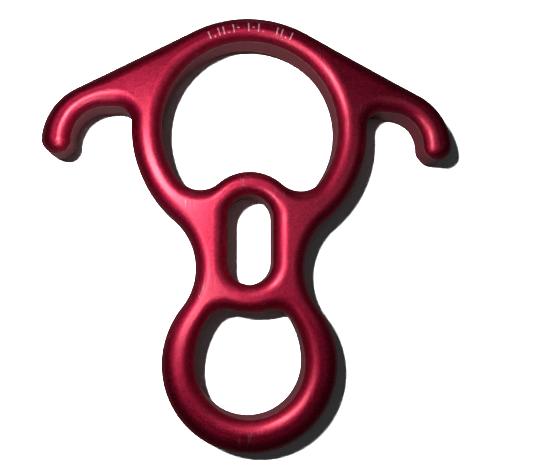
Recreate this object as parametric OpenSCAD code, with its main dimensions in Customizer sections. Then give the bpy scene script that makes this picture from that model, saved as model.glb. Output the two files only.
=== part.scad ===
// Rescue figure-eight descender with two bent ears, cut from one plate.
// It lies on its back: +X runs across the ears, +Y towards the crown, +Z through the thickness.
// The origin is under the middle of its box. Inside the outline functions, y = 0 is the rope ring's centre.

/* [Plate] */
// Thickness of the plate
thickness = 15; // [13:0.5:18]
// Radius that every edge is rounded to, on both faces
edge_r = 5.3; // [3.6:0.1:6]
// How far the rounding turns before it meets the straight wall in a line, in degrees
edge_turn = 70; // [55:1:85]

/* [Rope ring] */
// Outer radius of the rope ring's limbs
ring_r = 40.2; // [39.5:0.1:41]
// Radius of the large rope hole
rope_hole_r = 30; // [29:0.25:31]
// Radius of the saddle that rises into the rope hole
saddle_r = 16.5; // [16:0.25:17.5]
// Distance from the ring's centre down to the saddle's centre
saddle_drop = 31.3; // [30:0.1:32]
// Radius of the two lobes beside the saddle
lobe_r = 9.2; // [8:0.1:10]

/* [Crown] */
// Radius of the crown, the arc over the rope hole
crown_r = 41.5; // [40:0.25:43]
// Distance from the ring's centre down to the crown's centre
crown_drop = 3.5; // [2.5:0.1:4]

/* [Ears] */
// Distance of each hook's centre from the middle
hook_x = 48.8; // [47:0.1:51]
// Distance of each hook's centre below the ring's centre
hook_drop = 4.9; // [4:0.1:6]
// Inner radius of the hook
hook_r = 11.2; // [10.5:0.1:12]
// Radius of the round tip
tip_r = 4.9; // [4.6:0.1:5.4]
// Outer radius of the ear's shoulder
shoulder_r = 21; // [20:0.25:22]
// How far the tip turns up from straight out, in degrees
tip_lean = 4.5; // [0:0.5:8]
// Radius in the corner between the ear and the ring
corner_r = 5.2; // [4.5:0.1:6]
// Height of that corner round the ring, in degrees
corner_lift = 2.3; // [1:0.1:5]

/* [Slot] */
// Width of the slot
slot_w = 15.4; // [14:0.2:16]
// Length of the slot
slot_len = 30; // [27:0.5:31]
// Distance from the ring's centre down to the slot's centre
slot_drop = 38; // [37:0.25:39]

/* [Carabiner eye] */
// Distance from the ring's centre down to the eye's centre
eye_drop = 79.2; // [78:0.25:82]
// Outer radius of the ring round the eye
eye_ring_r = 29.4; // [29:0.1:31]
// Radius of the eye
eye_r = 18.3; // [17.5:0.1:18.5]
// Radius of the eye's two sides, above its middle
eye_side_r = 27; // [25:0.5:30]
// Radius of the eye's two upper corners
eye_corner_r = 6.9; // [6:0.1:8]
// Height of the low point of the eye's upper edge, over the eye's centre
eye_top = 16.8; // [16:0.1:17.5]
// Radius of the bulge in the eye's upper edge
eye_bulge_r = 26.2; // [22:0.5:40]
// Radius of the waist, between the two rings
waist_r = 21.5; // [20:0.5:24]

/* [Hidden] */
anodised_red = "#b3123a";
chord_error = 0.04;              // how far a facet may lie from the true arc
fillet_steps = 4;                // facets across each rounded edge
same = 0.001;                    // distance under which two points are one
longest_step = 3;                // longest gap between two stations along an arc
straight_step = 3.6;             // the same along a straight edge
ridge_w = 0.6;                   // width of the flat left along the middle of a narrow limb
seam = 0.05;                     // overlap of the rounded rim with the flat core
ring_drop = 0.5;                 // how far the ring's outside is centred below the rope hole
origin = [0, 0];
ring_c = [0, -ring_drop];
crown_c = [0, -crown_drop];
hook_c = [hook_x, -hook_drop];
tip_c = hook_c + [hook_r + tip_r, 0];
shoulder_c = polar(tip_c, tip_r - shoulder_r, tip_lean);
corner_c = polar(ring_c, ring_r + corner_r, corner_lift);
eye_c = [0, -eye_drop];
waist_c = outside_both(ring_c, ring_r + waist_r, eye_c, eye_ring_r + waist_r);
saddle_c = [0, -saddle_drop];
lobe_c = outside_both(origin, rope_hole_r - lobe_r, saddle_c, saddle_r + lobe_r);
eye_side_c = eye_c + [eye_r - eye_side_r, 0];
eye_bulge_c = eye_c + [0, eye_top + eye_bulge_r];
eye_corner_c = outside_both(eye_bulge_c, eye_bulge_r + eye_corner_r,
                            eye_side_c, eye_side_r - eye_corner_r);
slot_end = (slot_len - slot_w) / 2;
box_mid_y = (crown_r - crown_drop - eye_drop - eye_ring_r) / 2;

function polar(c, r, a) = c + r * [cos(a), sin(a)];
function bearing(from, to) = atan2(to.y - from.y, to.x - from.x);

// The point at distance ra from a and rb from b, on the right of the line from a to b turned left.
function outside_both(a, ra, b, rb) =
    let (gap = norm(b - a), along = (ra * ra - rb * rb + gap * gap) / (2 * gap),
         dir = (b - a) / gap)
    a + along * dir + sqrt(ra * ra - along * along) * [-dir.y, dir.x];

// Bearing of the tangent points of two circles that one straight edge touches, seen from their centres.
function tangent_bearing(a, ra, b, rb, side) =
    bearing(a, b) + side * acos((ra - rb) / norm(b - a));

// Stations along an arc: [point, bearing of the inward normal]. The metal lies on the centre's
// side when metal_in is true, and outside the arc otherwise.
function arc(c, r, from, to, metal_in) =
    let (turn = abs(to - from),
         n = ceil(max(turn / (2 * acos(1 - chord_error / r)), r * turn * PI / 180 / longest_step)))
    [for (i = [0:n]) let (a = from + (to - from) * i / n) [polar(c, r, a), metal_in ? a + 180 : a]];

// The same path with none of its stations repeated, and with more on its straight stretches.
function even(path, step) =
    [for (i = [0:len(path) - 2])
        let (a = path[i], along = path[i + 1][0] - a[0], n = ceil(norm(along) / step))
        if (norm(along) > same)
            for (k = [0:n - 1]) [a[0] + along * k / n, a[1]]];

function half_outer() =
    let (top_a = tangent_bearing(crown_c, crown_r, shoulder_c, shoulder_r, 1),
         under_a = tangent_bearing(hook_c, hook_r, corner_c, corner_r, -1),
         waist_a = bearing(ring_c, waist_c), eye_a = bearing(eye_c, waist_c))
    concat(arc(crown_c, crown_r, 90, top_a, true),
           arc(shoulder_c, shoulder_r, top_a, tip_lean, true),
           arc(tip_c, tip_r, tip_lean, -180, true),
           arc(hook_c, hook_r, 0, under_a, false),
           arc(corner_c, corner_r, under_a, 180 + corner_lift, false),
           arc(ring_c, ring_r, corner_lift, waist_a, true),
           arc(waist_c, waist_r, 180 + waist_a, 180 + eye_a, false),
           arc(eye_c, eye_ring_r, eye_a, -90, true));

function half_rope_hole() =
    let (lobe_a = bearing(origin, lobe_c), saddle_a = bearing(saddle_c, lobe_c))
    concat(arc(origin, rope_hole_r, 90, lobe_a, false),
           arc(lobe_c, lobe_r, lobe_a, saddle_a - 180, false),
           arc(saddle_c, saddle_r, saddle_a, 90, true));

function half_eye() =
    let (side_a = bearing(eye_side_c, eye_corner_c), bulge_a = bearing(eye_bulge_c, eye_corner_c))
    concat(arc(eye_bulge_c, eye_bulge_r, -90, bulge_a, true),
           arc(eye_corner_c, eye_corner_r, bulge_a + 180, side_a, false),
           arc(eye_side_c, eye_side_r, side_a, 0, false),
           arc(eye_c, eye_r, 0, -90, false));

function half_slot() =
    concat(arc([0, slot_end - slot_drop], slot_w / 2, 90, 0, false),
           arc([0, -slot_end - slot_drop], slot_w / 2, 0, -90, false));

// The other half of a half outline, in the order that closes the loop.
function mirrored(half) =
    [for (i = [len(half) - 1:-1:0]) let (s = half[i]) [[-s[0].x, s[0].y], 180 - s[1]]];

// A closed loop of stations from half an outline.
function whole(half) = even(concat(half, mirrored(half)), straight_step);

// The same loop, run the other way round.
function reversed(loop) = [for (i = [len(loop) - 1:-1:0]) loop[i]];

function points_of(loop) = [for (s = loop) s[0]];

outer = whole(half_outer());
holes = [for (half = [half_rope_hole(), half_slot(), half_eye()]) reversed(whole(half))];
outline_points = [for (loop = concat([outer], holes)) each points_of(loop)];

// Radius of the largest disc of metal that touches the outline at a station.
function reach(s) =
    let (n = [cos(s[1]), sin(s[1])])
    min([for (q = outline_points) let (d = q - s[0], h = d * n) if (h > same) d * d / (2 * h)]);

// Width of the rounded edge at a station, measured inwards from the wall. On a limb narrower than
// two rounded edges it ends near the limb's middle, where a narrow flat is left.
function edge_width(s) = min(reach(s) - ridge_w / 2, edge_r * sin(edge_turn));

// Corner points of the rim's cross-section at a station, in order round it. A narrower edge is
// squeezed sideways only, so that the line where it meets the wall stays level.
function section(s) =
    let (w = edge_width(s),
         edge = [for (k = [0:fillet_steps])
                    let (a = edge_turn * k / fillet_steps)
                    [w * (1 - sin(a) / sin(edge_turn)), edge_r * (1 - cos(a))]],
         lower = concat([[w + seam, 0]], edge),
         upper = [for (q = reversed(lower)) [q.x, thickness - q.y]])
    [for (q = concat(lower, upper)) let (p = polar(s[0], q.x, s[1])) [p.x, p.y, q.y]];

// Outline of the flat part inside a loop's rounded edge.
function inner_edge(loop) = [for (s = loop) polar(s[0], edge_width(s) + seam / 2, s[1])];

// The rounded rim along a loop of stations.
module rim(loop) {
    sections = [for (s = loop) section(s)];
    n = len(loop);
    m = len(sections[0]);
    sides = [for (i = [0:n - 1], k = [0:m - 1])
                let (j = (i + 1) % n, l = (k + 1) % m)
                each [[i * m + k, j * m + k, j * m + l], [i * m + k, j * m + l, i * m + l]]];
    polyhedron(points = [for (section = sections) each section], faces = sides);
}

// The flat part, inside every rounded edge.
module core() {
    linear_extrude(height = thickness)
        difference() {
            polygon(inner_edge(outer));
            for (hole = holes) polygon(inner_edge(hole));
        }
}

module descender_body() {
    color(anodised_red)
        translate([0, -box_mid_y, 0]) {
            core();
            rim(outer);
            for (hole = holes) rim(hole);
        }
}

descender_body();
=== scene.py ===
import math

import bpy
import numpy as np
from mathutils import Matrix, Vector
from mathutils.geometry import tessellate_polygon


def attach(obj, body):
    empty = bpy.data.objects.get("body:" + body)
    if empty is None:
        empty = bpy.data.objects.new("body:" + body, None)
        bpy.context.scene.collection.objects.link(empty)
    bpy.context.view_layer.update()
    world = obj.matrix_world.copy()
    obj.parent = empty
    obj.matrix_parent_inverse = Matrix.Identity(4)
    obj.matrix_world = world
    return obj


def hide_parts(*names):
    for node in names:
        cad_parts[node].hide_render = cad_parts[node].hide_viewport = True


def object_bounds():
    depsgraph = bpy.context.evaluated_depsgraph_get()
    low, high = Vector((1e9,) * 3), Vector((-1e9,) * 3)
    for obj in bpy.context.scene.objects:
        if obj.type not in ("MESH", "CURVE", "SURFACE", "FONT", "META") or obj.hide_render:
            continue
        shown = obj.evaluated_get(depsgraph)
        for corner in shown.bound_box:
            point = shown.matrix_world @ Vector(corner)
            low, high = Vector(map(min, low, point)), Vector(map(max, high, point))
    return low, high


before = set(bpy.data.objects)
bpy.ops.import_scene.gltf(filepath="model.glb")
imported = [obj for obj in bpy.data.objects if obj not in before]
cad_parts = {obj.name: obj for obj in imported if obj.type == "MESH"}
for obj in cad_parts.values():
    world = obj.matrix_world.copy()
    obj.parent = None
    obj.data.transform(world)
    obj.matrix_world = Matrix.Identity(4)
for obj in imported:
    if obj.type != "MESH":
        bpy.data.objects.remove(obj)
cad_lo, cad_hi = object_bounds()
MM = 0.001

# ---------------------------------------------------------------- the body's own sizes
# They are in mm and degrees. The outline functions have y = 0 at the rope hole's centre, a drop is
# a distance below it, and only the right half is drawn, because the left one mirrors it.

# Plate
MARK_LIFT = 0.02                           # how far the marks stand over the metal
THICKNESS = (cad_hi.z - cad_lo.z) / MM - MARK_LIFT   # leaves room for the marks in the CAD's box
EDGE_R = 5.3                               # radius of every edge, on both faces
EDGE_TURN = 70.0                           # how far the rounding turns before it meets the wall
# Rope ring
RING_R = 40.2
RING_DROP = 0.5
ROPE_HOLE_R = 30.0
SADDLE_R = 16.5                            # the part of the hole's edge that the rope runs over
SADDLE_DROP = 31.3
LOBE_R = 9.2                               # the hollows on both sides of the saddle
# Crown, the arc over the rope hole
CROWN_R = 41.5
CROWN_DROP = 3.5
# Ears
HOOK_X = 48.8
HOOK_DROP = 4.9
HOOK_R = 11.2                              # inside of the hook
TIP_R = 4.9
SHOULDER_R = 21.0                          # outside of the hook
TIP_LEAN = 4.5                             # how far the tip turns up from straight out
CORNER_R = 5.2                             # between the ear and the ring
CORNER_LIFT = 2.3                          # how far round the ring that corner is
# Slot in the neck
SLOT_W = 15.4
SLOT_LEN = 30.0
SLOT_DROP = 38.0
# Carabiner eye
EYE_DROP = 79.2
EYE_RING_R = 29.4
EYE_R = 18.3
EYE_SIDE_R = 27.0                          # the eye's two sides, above its middle
EYE_CORNER_R = 6.9                         # the eye's two upper corners
EYE_TOP = 16.8                             # low point of the upper edge, over the eye's centre
EYE_BULGE_R = 26.2                         # the bulge in the upper edge
WAIST_R = 21.5                             # between the two rings

# Mesh
STATION_STEP = 0.55                        # gap between two stations along an arc
STRAIGHT_STEP = 1.2 * STATION_STEP         # the same along a straight edge
FILLET_STEPS = 14                          # faces across each rounded edge
RIDGE_HALF = 0.5                           # half the flat left along the middle of a narrow limb
BREAK_R = 0.5                              # the small rounding where the edge meets the wall
BREAK_STEPS = 3                            # faces across it
EDGE_HIGHLIGHT_FADE = 0.3                             # how far below it the painted highlight along the edge fades out on the wall
BLEND_LEN = 2.2                            # length over which the edge's width changes
SAME = 1e-3                                # distance under which two points are one
ON_TANGENT = 1e-4                          # a point nearer to the tangent line than this is on it
NO_AREA = 1e-9                             # twice the area under which a triangle is left out
TURN = math.radians(EDGE_TURN)
EDGE_W = EDGE_R * math.sin(TURN) + BREAK_R * (1 - math.sin(TURN))


def polar(c, r, a):
    """The point at distance r and bearing a from c."""
    return np.array(c) + r * np.array([math.cos(math.radians(a)), math.sin(math.radians(a))])


def bearing(a, b):
    """Bearing of b seen from a."""
    return math.degrees(math.atan2(b[1] - a[1], b[0] - a[0]))


def outside_both(a, ra, b, rb):
    """The point at distance ra from a and rb from b, to the left of the line from a to b."""
    a, b = np.array(a, float), np.array(b, float)
    gap = np.linalg.norm(b - a)
    along = (ra * ra - rb * rb + gap * gap) / (2 * gap)
    d = (b - a) / gap
    return a + along * d + math.sqrt(ra * ra - along * along) * np.array([-d[1], d[0]])


def arc(c, r, start, end, metal_in):
    """Stations along an arc: (point, bearing into the metal), which metal_in puts on the centre's side."""
    n = max(2, math.ceil(abs(math.radians(end - start)) * r / STATION_STEP))
    turns = [start + (end - start) * i / n for i in range(n + 1)]
    return [(polar(c, r, a), a + 180 if metal_in else a) for a in turns]


# Centres of the arcs
origin = np.zeros(2)
ring_c = np.array([0, -RING_DROP])
crown_c = np.array([0, -CROWN_DROP])
hook_c = np.array([HOOK_X, -HOOK_DROP])
tip_c = hook_c + np.array([HOOK_R + TIP_R, 0])
shoulder_c = polar(tip_c, TIP_R - SHOULDER_R, TIP_LEAN)
corner_c = polar(ring_c, RING_R + CORNER_R, CORNER_LIFT)
eye_c = np.array([0, -EYE_DROP])
waist_c = outside_both(ring_c, RING_R + WAIST_R, eye_c, EYE_RING_R + WAIST_R)
saddle_c = np.array([0, -SADDLE_DROP])
lobe_c = outside_both(origin, ROPE_HOLE_R - LOBE_R, saddle_c, SADDLE_R + LOBE_R)
eye_side_c = eye_c + np.array([EYE_R - EYE_SIDE_R, 0])
eye_bulge_c = eye_c + np.array([0, EYE_TOP + EYE_BULGE_R])
eye_corner_c = outside_both(eye_bulge_c, EYE_BULGE_R + EYE_CORNER_R,
                            eye_side_c, EYE_SIDE_R - EYE_CORNER_R)
BOX_MID_Y = (CROWN_R - CROWN_DROP - EYE_DROP - EYE_RING_R) / 2


def half_outer():
    """Crown, shoulder, tip, hook, corner, rope ring, waist and eye ring."""
    top = bearing(crown_c, shoulder_c) + math.degrees(
        math.acos((CROWN_R - SHOULDER_R) / np.linalg.norm(shoulder_c - crown_c)))
    under = bearing(hook_c, corner_c) - math.degrees(
        math.acos((HOOK_R - CORNER_R) / np.linalg.norm(corner_c - hook_c)))
    waist = bearing(ring_c, waist_c)
    eye = bearing(eye_c, waist_c)
    return (arc(crown_c, CROWN_R, 90, top, True)
            + arc(shoulder_c, SHOULDER_R, top, TIP_LEAN, True)
            + arc(tip_c, TIP_R, TIP_LEAN, -180, True)
            + arc(hook_c, HOOK_R, 0, under, False)
            + arc(corner_c, CORNER_R, under, 180 + CORNER_LIFT, False)
            + arc(ring_c, RING_R, CORNER_LIFT, waist, True)
            + arc(waist_c, WAIST_R, 180 + waist, 180 + eye, False)
            + arc(eye_c, EYE_RING_R, eye, -90, True))


def half_rope_hole():
    """Top, lobe and saddle."""
    lobe = bearing(origin, lobe_c)
    saddle = bearing(saddle_c, lobe_c)
    return (arc(origin, ROPE_HOLE_R, 90, lobe, False)
            + arc(lobe_c, LOBE_R, lobe, saddle - 180, False)
            + arc(saddle_c, SADDLE_R, saddle, 90, True))


def half_eye():
    """Bulge, upper corner, side and lower half."""
    side = bearing(eye_side_c, eye_corner_c)
    bulge = bearing(eye_bulge_c, eye_corner_c)
    return (arc(eye_bulge_c, EYE_BULGE_R, -90, bulge, True)
            + arc(eye_corner_c, EYE_CORNER_R, bulge + 180, side, False)
            + arc(eye_side_c, EYE_SIDE_R, side, 0, False)
            + arc(eye_c, EYE_R, 0, -90, False))


def half_slot():
    """The two round ends; the straight side lies between them."""
    end = (SLOT_LEN - SLOT_W) / 2
    return (arc([0, end - SLOT_DROP], SLOT_W / 2, 90, 0, False)
            + arc([0, -end - SLOT_DROP], SLOT_W / 2, 0, -90, False))


def whole(half, turned):
    """A half outline and its mirror image as one closed loop: points and normals into the metal.

    A hole's loop is turned, to run the other way round.
    """
    mirrored = [(np.array([-p[0], p[1]]), 180 - a) for p, a in reversed(half)]
    path = half + mirrored
    points, normals = [], []
    for (p, a), (q, _) in zip(path, path[1:] + path[:1]):
        gap = np.linalg.norm(q - p)
        if gap < SAME:
            continue
        n = max(1, math.ceil(gap / STRAIGHT_STEP))
        for k in range(n):
            points.append(p + (q - p) * k / n)
            normals.append([math.cos(math.radians(a)), math.sin(math.radians(a))])
    points, normals = np.array(points), np.array(normals)
    return (points[::-1], normals[::-1]) if turned else (points, normals)


loops = [whole(half_outer(), False), whole(half_rope_hole(), True),
         whole(half_slot(), True), whole(half_eye(), True)]
outline = np.concatenate([p for p, _ in loops])


def reach(points, normals):
    """Radius of the largest disc of metal that touches the outline at each station."""
    out = np.empty(len(points))
    for i, (p, n) in enumerate(zip(points, normals)):
        d = outline - p
        h = d @ n
        ahead = h > ON_TANGENT
        out[i] = np.min((d[ahead] ** 2).sum(1) / (2 * h[ahead]))
    return out


def edge_width(points, normals):
    """Width of the rounded edge at each station, changing softly along the loop."""
    room = reach(points, normals) - RIDGE_HALF
    w = np.minimum(room, EDGE_W)
    spread = max(1, int(BLEND_LEN / STATION_STEP))
    window = np.hanning(2 * spread + 3)[1:-1]
    window /= window.sum()
    padded = np.concatenate([w[-spread:], w, w[:spread]])
    return np.minimum(np.convolve(padded, window, "valid"), room)


def edge_profile():
    """The rounded edge at its full width, from the face to the wall: distance off the wall, drop, slope."""
    big = np.linspace(0, TURN, FILLET_STEPS + 1)
    small = np.linspace(TURN, math.pi / 2, BREAK_STEPS + 1)[1:]
    off = np.concatenate([EDGE_W - EDGE_R * np.sin(big), BREAK_R * (1 - np.sin(small)), [0]])
    drop = np.concatenate([EDGE_R * (1 - np.cos(big)),
                           EDGE_R * (1 - math.cos(TURN)) + BREAK_R * (math.cos(TURN) - np.cos(small))])
    drop = np.append(drop, drop[-1] + EDGE_HIGHLIGHT_FADE)
    slope = np.concatenate([big, small, [math.pi / 2]])
    return off, drop, slope


def there_and_back(values):
    """Values for the lower rounded edge, and the same mirrored for the upper one."""
    return np.concatenate([values, values[::-1]])


def rim_points(points, inward, squeeze, off, drop):
    """The rim along a loop as a grid: a row per station, from the back face up to the front one."""
    depth = squeeze * there_and_back(off)[None, :]
    grid = np.empty((*depth.shape, 3))
    grid[:, :, :2] = points[:, None, :] + depth[:, :, None] * inward[:, None, :]
    grid[:, :, 2] = np.concatenate([drop, THICKNESS - drop[::-1]])
    return grid


def rim_normals(grid, inward, squeeze, slope):
    """Outward normals of that grid."""
    along = np.roll(grid, -1, 0) - np.roll(grid, 1, 0)
    tilt = np.concatenate([slope, math.pi - slope[::-1]])
    across = np.empty_like(grid)
    across[:, :, :2] = -(squeeze * np.cos(tilt)[None, :])[:, :, None] * inward[:, None, :]
    across[:, :, 2] = np.sin(tilt)
    normal = np.cross(along, across)
    normal /= np.linalg.norm(normal, axis=2)[:, :, None]
    into_metal = (normal[:, :, :2] * inward[:, None, :]).sum(2)
    normal[into_metal[:, len(slope) - 1] > 0] *= -1
    normal[:, 0] = (0, 0, -1)
    normal[:, -1] = (0, 0, 1)
    return normal


def rim_faces(first, n, m):
    """Faces of a grid of n by m vertices that closes on itself and starts at vertex number first."""
    faces = []
    for i in range(n):
        a = first + i * m
        b = first + (i + 1) % n * m
        faces += [(a + k, a + k + 1, b + k + 1, b + k) for k in range(m - 1)]
    return faces


def flat_faces(verts, rings, front):
    """Triangles that fill the flat of one face, between rings of vertex numbers."""
    numbers = [i for ring in rings for i in ring]
    faces = []
    for t in tessellate_polygon([[Vector(verts[i][:2]).to_3d() for i in ring] for ring in rings]):
        a, b, c = (numbers[i] for i in t)
        u, v = verts[b][:2] - verts[a][:2], verts[c][:2] - verts[a][:2]
        twice_area = u[0] * v[1] - u[1] * v[0]
        if abs(twice_area) < NO_AREA:
            continue
        faces.append((a, b, c) if (twice_area > 0) == front else (a, c, b))
    return faces


def add_object(name, data):
    """A new object in the scene, at the origin."""
    obj = bpy.data.objects.new(name, data)
    bpy.context.scene.collection.objects.link(obj)
    return obj


def build_body():
    """The whole body, with two point attributes: where a highlight is painted along its edge, and where its
    wall is.
    """
    off, drop, slope = edge_profile()
    # The rows of the small rounding carry a painted highlight, a pale line that fades out just below it on
    # the wall.
    painted_edge_highlight = np.zeros(len(slope))
    painted_edge_highlight[FILLET_STEPS + 1:-1] = 1
    wall = np.interp(slope, [TURN, math.pi / 2], [0, 1])
    verts, faces, normals, edge_light_and_wall = [], [], [], []
    back_rings, front_rings = [], []
    first = 0
    for points, inward in loops:
        squeeze = edge_width(points, inward)[:, None] / EDGE_W
        grid = rim_points(points, inward, squeeze, off, drop)
        n, m = grid.shape[:2]
        verts.append(grid.reshape(-1, 3))
        normals.append(rim_normals(grid, inward, squeeze, slope).reshape(-1, 3))
        edge_light_and_wall.append(np.tile(np.stack([there_and_back(painted_edge_highlight), there_and_back(wall)], 1), (n, 1)))
        faces += rim_faces(first, n, m)
        back_rings.append([first + i * m for i in range(n)])
        front_rings.append([first + i * m + m - 1 for i in range(n)])
        first += n * m
    verts, normals = np.concatenate(verts), np.concatenate(normals)
    faces += flat_faces(verts, back_rings, False) + flat_faces(verts, front_rings, True)
    verts[:, 1] -= BOX_MID_Y
    # The CAD's facets end a hair inside the arcs that they follow, so the width is fitted to its box.
    verts[:, 0] *= cad_hi.x / MM / verts[:, 0].max()
    mesh = bpy.data.meshes.new("descender")
    mesh.from_pydata((verts * MM).tolist(), [], faces)
    mesh.validate()
    mesh.polygons.foreach_set("use_smooth", [True] * len(mesh.polygons))
    mesh.normals_split_custom_set_from_vertices(normals.tolist())
    for name, values in zip(("painted_edge_highlight", "wall"), np.concatenate(edge_light_and_wall).T):
        attribute = mesh.attributes.new(name, "FLOAT", "POINT")
        attribute.data.foreach_set("value", values.astype(np.float32))
    mesh.update()
    return add_object("descender", mesh)


body = build_body()
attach(body, "root")
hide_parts("descender_body")


# ---------------------------------------------------------------- marks on the crown
MARK_IN, MARK_OUT = 32.2, 34.8             # radii between which the marks stand
MARK_LINE = 0.38                           # width of a stroke
DASH_LEN = 0.8
DOT_W = 0.45
MARK_STEP = 2.9                            # degrees from one mark to the next
MARK_ROWS = 6                              # faces along each mark
# Each group's start, in degrees to the right of the top, and its strokes, dashes and dots.
GROUPS = ((-26.5, "|.||.|-"), (-3.2, "|-|."), (13.5, "||.|"))


def crown_height(r):
    """Height of the metal over the back face at this distance from the rope hole's centre."""
    room = (CROWN_R - CROWN_DROP - ROPE_HOLE_R) / 2 - RIDGE_HALF
    into = min((r - ROPE_HOLE_R) / room, 1.0)
    turned = math.asin((1 - into) * math.sin(TURN))
    return THICKNESS - EDGE_R * (1 - math.cos(turned))


def add_patch(verts, faces, degrees, r_lo, r_hi, width):
    """A thin sheet across the crown, lying on the rounded metal."""
    for i in range(MARK_ROWS + 1):
        r = r_lo + (r_hi - r_lo) * i / MARK_ROWS
        half = math.degrees(width / 2 / r)
        for side in (-half, half):
            x, y = polar(origin, r, 90 - degrees - side)
            verts.append((x * MM, (y - BOX_MID_Y) * MM, (crown_height(r) + MARK_LIFT) * MM))
    first = len(verts) - 2 * (MARK_ROWS + 1)
    for i in range(MARK_ROWS):
        a = first + 2 * i
        faces.append((a, a + 1, a + 3, a + 2))


def build_marks():
    """Plain marks in place of writing."""
    verts, faces = [], []
    middle = (MARK_IN + MARK_OUT) / 2
    for start, shapes in GROUPS:
        for i, shape in enumerate(shapes):
            at = start + MARK_STEP * (i + 0.5)
            if shape == "|":
                add_patch(verts, faces, at, MARK_IN, MARK_OUT, MARK_LINE)
            elif shape == "-":
                add_patch(verts, faces, at, middle - MARK_LINE / 2, middle + MARK_LINE / 2, DASH_LEN)
            else:
                add_patch(verts, faces, at, MARK_IN, MARK_IN + DOT_W, DOT_W)
    mesh = bpy.data.meshes.new("crown_marks")
    mesh.from_pydata(verts, [], faces)
    mesh.update()
    return add_object("crown_marks", mesh)


marks = build_marks()
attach(marks, "root")


# ---------------------------------------------------------------- the studio's sizes
# They are in metres where a line doesn't say otherwise.
FLOOR_HALF = 3.0                           # half the floor's side
FLOOR_GAP = 0.00005                        # how far the floor lies under the body
EVEN_SPAN = (0.12, 0.24)                   # where the lit floor fades into an even white
SKY_LIGHT = 0.006                          # the world's strength as a light
SKY_SEEN = 1.0                             # the same where the camera sees it
CAMERA_PLACE = (-0.0200, -0.0535, 0.18935)       # from the rope hole's middle, level with its wall's top
TILT_X, TILT_Y, ROLL = 0.0581, 0.0568, -0.0037   # radians, from looking straight down
SENSOR = 36.0                              # mm
FIELD_LENS = 38.42                         # mm
LENS_SHIFT = (0.0806, 0.0412)              # assumed: the picture as cut from a wider one
NEAREST = 0.005                            # the camera sees nothing nearer than this


# ---------------------------------------------------------------- materials
SCRATCH_STRETCH = (1.0, 0.06, 1.0)         # draws the noise out along y, into long lines
SCRATCH_PATCHES = 95.0                     # scale of the noise that says where there are lines
NOISE_SPAN = (0.35, 0.65)                  # where most of a noise's values lie
WIDE_SPAN = (0.3, 0.7)                     # where nearly all of them do


class Nodes:
    """Short names for building one material's node tree."""

    def __init__(self, name):
        self.material = bpy.data.materials.new(name)
        self.material.use_nodes = True
        self.tree = self.material.node_tree
        self.shader = self.tree.nodes["Principled BSDF"]

    def link(self, a, b):
        self.tree.links.new(a, b)

    def new(self, kind, **inputs):
        node = self.tree.nodes.new(kind)
        for name, value in inputs.items():
            node.inputs[name.replace("_", " ")].default_value = value
        return node

    def attribute(self, name):
        node = self.tree.nodes.new("ShaderNodeAttribute")
        node.attribute_name = name
        return node.outputs["Fac"]

    def object_place(self):
        return self.tree.nodes.new("ShaderNodeTexCoord").outputs["Object"]

    def noise(self, where, scale, detail=2.0, roughness=0.5):
        node = self.new("ShaderNodeTexNoise", Scale=scale, Detail=detail, Roughness=roughness)
        self.link(where, node.inputs["Vector"])
        return node.outputs["Fac"]

    def scratches(self, where, turn, scale, width):
        """Thin, broken lines along one direction: 1 on a line and 0 off it."""
        stretched = self.new("ShaderNodeMapping", Rotation=(0.0, 0.0, turn), Scale=SCRATCH_STRETCH)
        self.link(where, stretched.inputs["Vector"])
        lines = self.noise(stretched.outputs["Vector"], scale, 1.0)
        off_line = self.math("ABSOLUTE", self.math("SUBTRACT", lines, 0.5), 0.0)
        line = self.ramp(off_line, (0.0, width), (1.0, 0.0))
        some = self.ramp(self.noise(where, SCRATCH_PATCHES, 1.0), (0.60, 0.66))
        return self.math("MULTIPLY", line, some)

    def ramp(self, value, span, result=(0.0, 1.0)):
        """Maps the span onto the result, end to end, and holds the result's ends outside it."""
        node = self.new("ShaderNodeMapRange", From_Min=span[0], From_Max=span[1],
                        To_Min=result[0], To_Max=result[1])
        self.link(value, node.inputs["Value"])
        return node.outputs["Result"]

    def bump(self, height, strength, distance, normal=None):
        node = self.new("ShaderNodeBump", Strength=strength, Distance=distance)
        self.link(height, node.inputs["Height"])
        if normal is not None:
            self.link(normal, node.inputs["Normal"])
        return node.outputs["Normal"]

    def feed(self, socket, value):
        """Sets a socket to a number or colour, or links another node's output to it."""
        if isinstance(value, (int, float, tuple)):
            socket.default_value = value
        else:
            self.link(value, socket)

    def math(self, how, a, b):
        node = self.tree.nodes.new("ShaderNodeMath")
        node.operation = how
        self.feed(node.inputs[0], a)
        self.feed(node.inputs[1], b)
        return node.outputs[0]

    def mix(self, factor, a, b):
        """One colour turning into another."""
        node = self.tree.nodes.new("ShaderNodeMix")
        node.data_type = "RGBA"
        self.feed(node.inputs["Factor"], factor)
        self.feed(node.inputs["A"], a)
        self.feed(node.inputs["B"], b)
        return node.outputs["Result"]

    def blend(self, factor, a, b):
        """One shader turning into another."""
        node = self.tree.nodes.new("ShaderNodeMixShader")
        self.link(factor, node.inputs[0])
        self.link(a.outputs[0], node.inputs[1])
        self.link(b.outputs[0], node.inputs[2])
        return node


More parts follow.
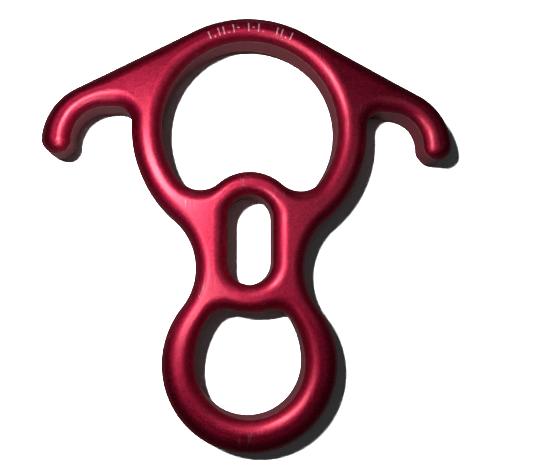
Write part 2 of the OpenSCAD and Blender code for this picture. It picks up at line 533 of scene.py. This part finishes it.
def anodised_red():
    """Bead-blasted aluminium under a clear, dyed oxide layer. The straight walls are rougher and less
    metallic, and their darker red is painted shade; a thin pale line along the small rounding over them is
    a painted highlight.
    """
    deep = (0.40, 0.001, 0.034, 1)
    bright = (0.47, 0.003, 0.042, 1)
    blotched = (0.58, 0.005, 0.060, 1)
    glinting = (0.70, 0.022, 0.095, 1)
    pitted = (0.20, 0.001, 0.012, 1)
    scratched = (0.72, 0.30, 0.34, 1)
    # painted shade: the darker red given to the straight walls
    darker_tone = (0.25, 0.035, 0.050, 1)
    # painted highlight: the pale line along the edge over the walls
    edge_highlight_colour = (0.62, 0.40, 0.40, 1)
    k = Nodes("anodised_red")
    place = k.object_place()
    cloud = k.noise(place, scale=60.0, detail=3.0)
    blotch = k.noise(place, scale=1300.0, detail=2.0)
    grain = k.noise(place, scale=1700.0, detail=3.0, roughness=0.65)
    scratch = k.math("MAXIMUM", k.scratches(place, turn=0.6, scale=260.0, width=0.006),
                     k.scratches(place, turn=-0.9, scale=210.0, width=0.005))
    painted_edge_highlight = k.attribute("painted_edge_highlight")
    wall = k.attribute("wall")

    colour = k.mix(k.ramp(cloud, NOISE_SPAN), deep, bright)
    colour = k.mix(k.ramp(blotch, NOISE_SPAN, (0.0, 0.6)), colour, blotched)
    colour = k.mix(k.ramp(grain, (0.48, 0.66), (0.0, 0.45)), colour, glinting)
    colour = k.mix(k.ramp(grain, (0.34, 0.50), (0.55, 0.0)), colour, pitted)
    colour = k.mix(k.math("MULTIPLY", scratch, 0.45), colour, scratched)
    # the walls turn to the darker red, which is painted shade
    colour = k.mix(wall, colour, darker_tone)
    # a pale line along the edge over the walls, broken up by the blotch noise, is a painted highlight
    edge_highlight_amount = k.math("MULTIPLY", painted_edge_highlight, k.ramp(blotch, (0.40, 0.60), (0.25, 0.8)))
    colour = k.mix(edge_highlight_amount, colour, edge_highlight_colour)
    k.link(colour, k.shader.inputs["Base Color"])

    rough = k.math("ADD", k.ramp(cloud, WIDE_SPAN, (0.48, 0.51)), k.ramp(grain, WIDE_SPAN, (-0.04, 0.04)))
    rough = k.math("ADD", rough, k.math("MULTIPLY", wall, 0.15))
    k.link(rough, k.shader.inputs["Roughness"])
    k.link(k.ramp(wall, (0.0, 1.0), (1.0, 0.15)), k.shader.inputs["Metallic"])
    fine = k.bump(grain, strength=0.6, distance=0.00003)
    blasted = k.bump(blotch, strength=0.8, distance=0.00004, normal=fine)
    k.link(blasted, k.shader.inputs["Normal"])
    k.link(blasted, k.shader.inputs["Coat Normal"])
    k.shader.inputs["Specular Tint"].default_value = (0.15, 0.005, 0.015, 1)
    k.shader.inputs["Coat Weight"].default_value = 0.55
    k.shader.inputs["Coat Roughness"].default_value = 0.33
    k.shader.inputs["Coat IOR"].default_value = 1.62
    return k.material


def bare_mark():
    """Where the dye has been burnt away: pale and dull."""
    pale = (0.62, 0.26, 0.32, 1)
    paler = (0.80, 0.45, 0.50, 1)
    k = Nodes("bare_mark")
    speck = k.noise(k.object_place(), scale=3000.0, detail=2.0)
    k.link(k.mix(k.ramp(speck, NOISE_SPAN), pale, paler), k.shader.inputs["Base Color"])
    k.link(k.ramp(speck, WIDE_SPAN, (0.55, 0.75)), k.shader.inputs["Roughness"])
    k.link(k.bump(speck, strength=0.3, distance=0.00001), k.shader.inputs["Normal"])
    return k.material


def plain_floor():
    """White paper to the camera, evenly lit further off, and dull in what the body reflects of it."""
    k = Nodes("plain_floor")
    distance = k.tree.nodes.new("ShaderNodeVectorMath")
    distance.operation = "LENGTH"
    k.link(k.object_place(), distance.inputs[0])
    far = k.ramp(distance.outputs["Value"], EVEN_SPAN)
    near = k.new("ShaderNodeBsdfDiffuse", Color=(0.92, 0.92, 0.93, 1))
    even = k.new("ShaderNodeEmission", Color=(1.0, 1.0, 1.0, 1), Strength=1.0)
    darker_tone = k.new("ShaderNodeBsdfDiffuse", Color=(0.02, 0.02, 0.02, 1))
    to_camera = k.tree.nodes.new("ShaderNodeLightPath").outputs["Is Camera Ray"]
    paper = k.blend(to_camera, darker_tone, k.blend(far, near, even))
    k.link(paper.outputs[0], k.tree.nodes["Material Output"].inputs["Surface"])
    return k.material


body.data.materials.append(anodised_red())
marks.data.materials.append(bare_mark())


# ---------------------------------------------------------------- floor, lights, camera
floor_corners = [(-FLOOR_HALF, -FLOOR_HALF, 0), (FLOOR_HALF, -FLOOR_HALF, 0),
                 (FLOOR_HALF, FLOOR_HALF, 0), (-FLOOR_HALF, FLOOR_HALF, 0)]
floor_mesh = bpy.data.meshes.new("floor")
floor_mesh.from_pydata(floor_corners, [], [(0, 1, 2, 3)])
floor = add_object("floor", floor_mesh)
floor.data.materials.append(plain_floor())
floor.location.z = cad_lo.z - FLOOR_GAP


def lamp_for(objects, name, kind, place, size, watts):
    """A lamp that lights only these objects, though everything casts a shadow in it."""
    data = bpy.data.lights.new(name, kind)
    if kind == "AREA":
        data.shape = "RECTANGLE"
        data.size = data.size_y = size
    else:
        data.shadow_soft_size = size
    data.energy = watts
    lamp = add_object(name, data)
    lamp.location = place
    lamp.visible_camera = False
    lit = bpy.data.collections.new("lit_by_" + name)
    for o in objects:
        lit.objects.link(o)
    lamp.light_linking.receiver_collection = lit


metal = [body, marks]
lamp_for(metal, "key", "POINT", place=(-0.038, 0.034, 0.104), size=0.015, watts=0.305)
lamp_for(metal, "low_key", "POINT", place=(-0.027, -0.023, 0.082), size=0.015, watts=0.100)
lamp_for(metal, "fill", "POINT", place=(0.045, 0.025, 0.110), size=0.050, watts=0.030)
lamp_for(metal, "behind", "POINT", place=(0.060, 0.450, 0.150), size=0.060, watts=0.12)
lamp_for([floor], "paper", "AREA", place=(-0.105, 0.050, 0.245), size=0.03, watts=7.5)
lamp_for([floor], "paper_fill", "AREA", place=(0.0, 0.0, 0.5), size=0.6, watts=0.10)

world = bpy.data.worlds.new("studio")
bpy.context.scene.world = world
world.use_nodes = True
sky = world.node_tree
backdrop = sky.nodes["Background"]
backdrop.inputs["Color"].default_value = (1.0, 1.0, 1.0, 1)
dim = sky.nodes.new("ShaderNodeMapRange")
dim.inputs["To Min"].default_value = SKY_LIGHT
dim.inputs["To Max"].default_value = SKY_SEEN
sky.links.new(sky.nodes.new("ShaderNodeLightPath").outputs["Is Camera Ray"], dim.inputs["Value"])
sky.links.new(dim.outputs["Result"], backdrop.inputs["Strength"])

facing = (Matrix.Rotation(-TILT_Y, 3, "X") @ Matrix.Rotation(TILT_X, 3, "Y")
          @ Matrix.Rotation(ROLL, 3, "Z")).transposed()
wall_top = cad_hi.z - EDGE_R * (1 - math.cos(TURN)) * MM
hole_middle = Vector((0, -BOX_MID_Y * MM, wall_top))
camera_data = bpy.data.cameras.new("camera")
camera_data.sensor_width = SENSOR
camera_data.lens = FIELD_LENS
camera_data.shift_x, camera_data.shift_y = LENS_SHIFT
camera_data.clip_start = NEAREST
camera = add_object("camera", camera_data)
camera.rotation_mode = "QUATERNION"
camera.rotation_quaternion = facing.to_quaternion()
camera.location = hole_middle + Vector(CAMERA_PLACE)
bpy.context.scene.camera = camera

bpy.context.scene.view_settings.view_transform = "Standard"
